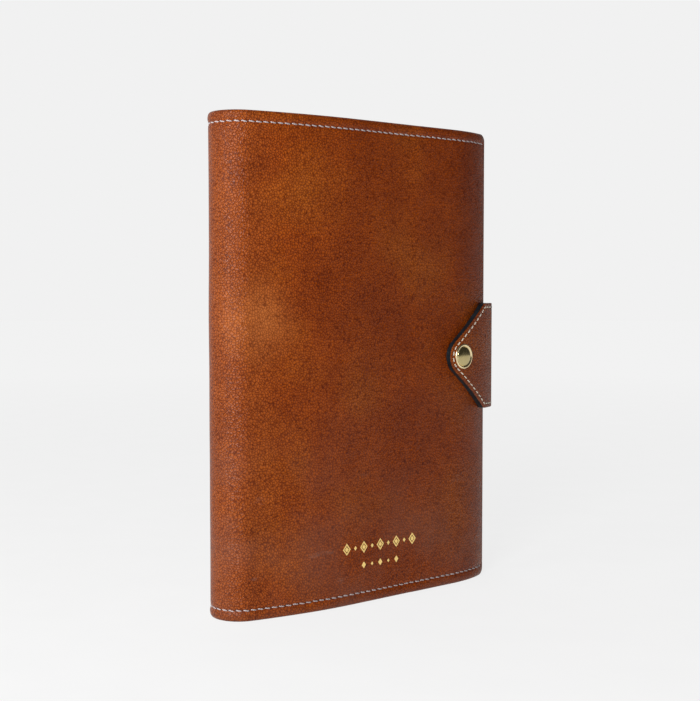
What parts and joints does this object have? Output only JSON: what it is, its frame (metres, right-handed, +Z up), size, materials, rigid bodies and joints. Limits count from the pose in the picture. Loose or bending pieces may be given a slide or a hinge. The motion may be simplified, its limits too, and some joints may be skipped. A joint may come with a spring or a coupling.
{
  "type": "leather notebook cover",
  "caption": "Soft leather cover for a bound notebook, with a rounded spine, sewn edges, inner sleeves, and a pointed tab that wraps the fore-edge and closes with a snap.",
  "frame": {"origin": "centre of the bounding box in plan, on the plane of the lower edges it stands on", "axes": "+Z up along the height; the spine is at -X and the fore-edge with the tab at +X; the front cover faces -Y and the flat back faces +Y"},
  "size_m": [0.1635, 0.033, 0.225],
  "materials": {
    "outer_leather": "cognac-brown grained leather, painted edges",
    "lining_leather": "smooth brown lining leather",
    "thread": "pale waxed thread",
    "gold_foil": "stamped foil",
    "snap_metal": "pale polished brass",
    "card": "dark notebook card",
    "paper": "cream paper block"
  },
  "bodies": {
    "back_cover": {"back_leather": "outer_leather", "back_lining": "lining_leather", "back_sleeve": "outer_leather", "back_stitching": "thread", "tab_base_leather": "outer_leather", "tab_base_lining": "lining_leather", "tab_base_stitching": "thread", "notebook_card_back": "card"},
    "spine_strip_1": {"spine_leather_1": "outer_leather", "spine_lining_1": "lining_leather", "spine_stitching_1": "thread"},
    "spine_strip_2": {"spine_leather_2": "outer_leather", "spine_lining_2": "lining_leather", "spine_stitching_2": "thread"},
    "spine_strip_3": {"spine_leather_3": "outer_leather", "spine_lining_3": "lining_leather", "spine_stitching_3": "thread"},
    "spine_strip_4": {"spine_leather_4": "outer_leather", "spine_lining_4": "lining_leather", "spine_stitching_4": "thread"},
    "spine_strip_5": {"spine_leather_5": "outer_leather", "spine_lining_5": "lining_leather", "spine_stitching_5": "thread"},
    "front_cover": {"front_leather": "outer_leather", "front_lining": "lining_leather", "front_sleeve": "outer_leather", "front_stitching": "thread", "front_ornament": "gold_foil", "snap_stud": "snap_metal", "snap_post": "snap_metal", "notebook_card_front": "card"},
    "pages_back": {"pages_back": "paper"},
    "pages_front": {"pages_front": "paper"},
    "tab_strap": {"tab_strap_leather": "outer_leather", "tab_strap_lining": "lining_leather"},
    "tab_flap": {"tab_flap_leather": "outer_leather", "tab_flap_lining": "lining_leather", "tab_flap_stitching": "thread", "snap_socket": "snap_metal", "snap_cap": "snap_metal"}
  },
  "joints": [
    {"name": "cover_opening", "type": "hinge", "parent": "back_cover", "child": "spine_strip_1", "pos_m": [-0.06797, 0.01303, 0], "axis": [0, 0, -1], "range_deg": [0, 17.23]},
    {"name": "spine_hinge_2", "type": "hinge", "parent": "spine_strip_1", "child": "spine_strip_2", "pos_m": [-0.07566, 0.01064, 0], "axis": [0, 0, -1], "range_deg": [0, 34.47]},
    {"name": "spine_hinge_3", "type": "hinge", "parent": "spine_strip_2", "child": "spine_strip_3", "pos_m": [-0.08066, 0.00432, 0], "axis": [0, 0, -1], "range_deg": [0, 34.47]},
    {"name": "spine_hinge_4", "type": "hinge", "parent": "spine_strip_3", "child": "spine_strip_4", "pos_m": [-0.0812, -0.00372, 0], "axis": [0, 0, -1], "range_deg": [0, 34.47]},
    {"name": "spine_hinge_5", "type": "hinge", "parent": "spine_strip_4", "child": "spine_strip_5", "pos_m": [-0.0771, -0.01065, 0], "axis": [0, 0, -1], "range_deg": [0, 34.47]},
    {"name": "spine_hinge_6", "type": "hinge", "parent": "spine_strip_5", "child": "front_cover", "pos_m": [-0.06979, -0.01405, 0], "axis": [0, 0, -1], "range_deg": [0, 17.24]},
    {"name": "pages_back_turn", "type": "hinge", "parent": "spine_strip_3", "child": "pages_back", "pos_m": [-0.07057, -0.00027, 0], "axis": [0, 0, 1], "range_deg": [0, 84.7]},
    {"name": "pages_front_turn", "type": "hinge", "parent": "spine_strip_3", "child": "pages_front", "pos_m": [-0.07057, -0.00027, 0], "axis": [0, 0, -1], "range_deg": [0, 84.7]},
    {"name": "tab_opening", "type": "hinge", "parent": "tab_strap", "child": "tab_flap", "pos_m": [0.08101, -0.00044, 0], "axis": [0, 0, 1], "range_deg": [0, 100]},
    {"name": "tab_strap_turn", "type": "hinge", "parent": "back_cover", "child": "tab_strap", "pos_m": [0.08034, 0.015, 0], "axis": [0, 0, 1], "range_deg": [0, 50.05]}
  ],
  "couplings": [
    {"joint": "spine_hinge_2", "follows": "cover_opening", "ratio": 2},
    {"joint": "spine_hinge_3", "follows": "cover_opening", "ratio": 2},
    {"joint": "spine_hinge_4", "follows": "cover_opening", "ratio": 2},
    {"joint": "spine_hinge_5", "follows": "cover_opening", "ratio": 2},
    {"joint": "spine_hinge_6", "follows": "cover_opening", "ratio": 1},
    {"joint": "pages_back_turn", "follows": "cover_opening", "ratio": 4.9129},
    {"joint": "pages_front_turn", "follows": "cover_opening", "ratio": 4.9129},
    {"joint": "tab_strap_turn", "follows": "tab_opening", "ratio": 0.5}
  ]
}
